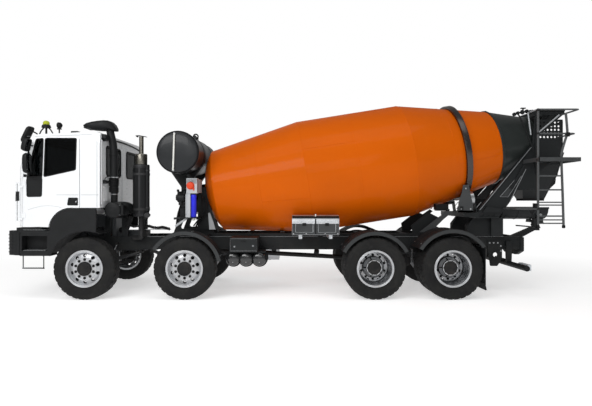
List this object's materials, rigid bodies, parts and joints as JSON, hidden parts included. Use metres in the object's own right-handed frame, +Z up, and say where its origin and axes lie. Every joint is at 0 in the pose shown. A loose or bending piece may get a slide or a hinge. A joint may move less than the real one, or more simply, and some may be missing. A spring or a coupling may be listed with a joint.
{
  "type": "concrete mixer truck",
  "caption": "Cab-over concrete mixer truck with twin steered front axles, tandem drive axles, a tilted rotating drum, hoppers and a swivelling rear chute.",
  "frame": {"origin": "centre of the bounding box's footprint, on the ground under the tyres", "axes": "+X from the cab towards the rear chute, +Y towards the passenger's side, +Z up"},
  "size_m": [10.55, 2.95, 3.7195],
  "materials": {
    "chassis_paint": "satin",
    "drum_orange": "gloss",
    "cab_white": "gloss",
    "dark_paint": "satin",
    "tank_paint": "satin",
    "engine_iron": "matte",
    "axle_iron": "matte",
    "lens": "gloss",
    "guard_plastic": "matte",
    "alloy": "brushed",
    "exhaust_steel": "satin",
    "black_plastic": "matte",
    "control_grey": "satin",
    "glazing": "gloss",
    "cab_trim": "matte",
    "tyre": "matte",
    "rim_silver": "satin",
    "roller_steel": "satin"
  },
  "bodies": {
    "chassis": {"chassis_frame": "chassis_paint", "subframe": "chassis_paint", "engine_block": "engine_iron", "bumper": "guard_plastic", "lamps": "lens", "mudguards": "guard_plastic", "front_axles": "axle_iron", "drive_axles": "axle_iron", "air_tanks": "dark_paint", "fuel_tank": "alloy", "chequer_box": "alloy", "exhaust": "exhaust_steel", "air_filter": "black_plastic", "water_tank": "tank_paint", "gearbox": "axle_iron", "control_panel": "control_grey", "rear_pedestal": "dark_paint", "charging_hopper": "dark_paint", "discharge_hopper": "dark_paint", "ladder_platform": "dark_paint"},
    "cab": {"cab_shell": "cab_white", "front_panel": "cab_white", "grille": "black_plastic", "cab_glass": "glazing", "cab_interior": "cab_trim", "snorkel": "black_plastic", "roof_fittings": "black_plastic"},
    "door_left": {"door_left": "cab_white", "door_glass_left": "glazing", "mirrors_left": "black_plastic"},
    "knuckle_1_left": {"knuckle_1_left": "axle_iron"},
    "wheel_1_left": {"tyre_1_left": "tyre", "rim_1_left": "rim_silver"},
    "knuckle_2_left": {"knuckle_2_left": "axle_iron"},
    "wheel_2_left": {"tyre_2_left": "tyre", "rim_2_left": "rim_silver"},
    "wheel_3_left": {"tyres_3_left": "tyre", "rims_3_left": "rim_silver"},
    "wheel_4_left": {"tyres_4_left": "tyre", "rims_4_left": "rim_silver"},
    "door_right": {"door_right": "cab_white", "door_glass_right": "glazing", "mirrors_right": "black_plastic"},
    "knuckle_1_right": {"knuckle_1_right": "axle_iron"},
    "wheel_1_right": {"tyre_1_right": "tyre", "rim_1_right": "rim_silver"},
    "knuckle_2_right": {"knuckle_2_right": "axle_iron"},
    "wheel_2_right": {"tyre_2_right": "tyre", "rim_2_right": "rim_silver"},
    "wheel_3_right": {"tyres_3_right": "tyre", "rims_3_right": "rim_silver"},
    "wheel_4_right": {"tyres_4_right": "tyre", "rims_4_right": "rim_silver"},
    "drum": {"drum_shell": "drum_orange", "drum_neck": "dark_paint"},
    "roller_left": {"roller_left": "roller_steel"},
    "roller_right": {"roller_right": "roller_steel"},
    "chute_swivel": {"chute_swivel": "dark_paint"},
    "chute": {"chute": "dark_paint"}
  },
  "joints": [
    {"name": "steer_1_left", "type": "hinge", "parent": "chassis", "child": "knuckle_1_left", "pos_m": [-3.795, -0.88, 0.56], "axis": [0, 0, 1], "range_deg": [-32, 32]},
    {"name": "wheel_1_left_spin", "type": "hinge", "parent": "knuckle_1_left", "child": "wheel_1_left", "pos_m": [-3.795, -1.0925, 0.56], "axis": [0, 1, 0], "continuous": true},
    {"name": "steer_1_right", "type": "hinge", "parent": "chassis", "child": "knuckle_1_right", "pos_m": [-3.795, 0.88, 0.56], "axis": [0, 0, 1], "range_deg": [-32, 32]},
    {"name": "wheel_1_right_spin", "type": "hinge", "parent": "knuckle_1_right", "child": "wheel_1_right", "pos_m": [-3.795, 1.0925, 0.56], "axis": [0, 1, 0], "continuous": true},
    {"name": "steer_2_left", "type": "hinge", "parent": "chassis", "child": "knuckle_2_left", "pos_m": [-1.995, -0.88, 0.56], "axis": [0, 0, 1], "range_deg": [-20, 20]},
    {"name": "wheel_2_left_spin", "type": "hinge", "parent": "knuckle_2_left", "child": "wheel_2_left", "pos_m": [-1.995, -1.0925, 0.56], "axis": [0, 1, 0], "continuous": true},
    {"name": "steer_2_right", "type": "hinge", "parent": "chassis", "child": "knuckle_2_right", "pos_m": [-1.995, 0.88, 0.56], "axis": [0, 0, 1], "range_deg": [-20, 20]},
    {"name": "wheel_2_right_spin", "type": "hinge", "parent": "knuckle_2_right", "child": "wheel_2_right", "pos_m": [-1.995, 1.0925, 0.56], "axis": [0, 1, 0], "continuous": true},
    {"name": "wheel_3_left_spin", "type": "hinge", "parent": "chassis", "child": "wheel_3_left", "pos_m": [1.445, -0.92, 0.56], "axis": [0, 1, 0], "continuous": true},
    {"name": "wheel_3_right_spin", "type": "hinge", "parent": "chassis", "child": "wheel_3_right", "pos_m": [1.445, 0.92, 0.56], "axis": [0, 1, 0], "continuous": true},
    {"name": "wheel_4_left_spin", "type": "hinge", "parent": "chassis", "child": "wheel_4_left", "pos_m": [2.84, -0.92, 0.56], "axis": [0, 1, 0], "continuous": true},
    {"name": "wheel_4_right_spin", "type": "hinge", "parent": "chassis", "child": "wheel_4_right", "pos_m": [2.84, 0.92, 0.56], "axis": [0, 1, 0], "continuous": true},
    {"name": "cab_tilt", "type": "hinge", "parent": "chassis", "child": "cab", "pos_m": [-5.075, 0, 1.265], "axis": [0, -1, 0], "range_deg": [0, 55]},
    {"name": "door_left_hinge", "type": "hinge", "parent": "cab", "child": "door_left", "pos_m": [-4.922, -1.203, 1.8], "axis": [0, 0, -1], "range_deg": [0, 70]},
    {"name": "door_right_hinge", "type": "hinge", "parent": "cab", "child": "door_right", "pos_m": [-4.922, 1.203, 1.8], "axis": [0, 0, 1], "range_deg": [0, 70]},
    {"name": "drum_spin", "type": "hinge", "parent": "chassis", "child": "drum", "pos_m": [-0.421, 0, 2.1726], "axis": [0.9876, 0, 0.1573], "continuous": true},
    {"name": "roller_left_spin", "type": "hinge", "parent": "chassis", "child": "roller_left", "pos_m": [3.3699, -0.5831, 1.8315], "axis": [0.9876, 0, 0.1573], "continuous": true},
    {"name": "roller_right_spin", "type": "hinge", "parent": "chassis", "child": "roller_right", "pos_m": [3.3699, 0.5831, 1.8315], "axis": [0.9876, 0, 0.1573], "continuous": true},
    {"name": "chute_turn", "type": "hinge", "parent": "chassis", "child": "chute_swivel", "pos_m": [4.93, 0, 1.28], "axis": [0, 0, 1], "range_deg": [0, 270]},
    {"name": "chute_tilt", "type": "hinge", "parent": "chute_swivel", "child": "chute", "pos_m": [4.93, 0, 1.5], "axis": [0, 1, 0], "range_deg": [-20, 25]}
  ],
  "couplings": [
    {"joint": "steer_1_right", "follows": "steer_1_left", "ratio": 1},
    {"joint": "steer_2_left", "follows": "steer_1_left", "ratio": 0.625},
    {"joint": "steer_2_right", "follows": "steer_1_left", "ratio": 0.625},
    {"joint": "roller_left_spin", "follows": "drum_spin", "ratio": -7.4615},
    {"joint": "roller_right_spin", "follows": "drum_spin", "ratio": -7.4615}
  ]
}
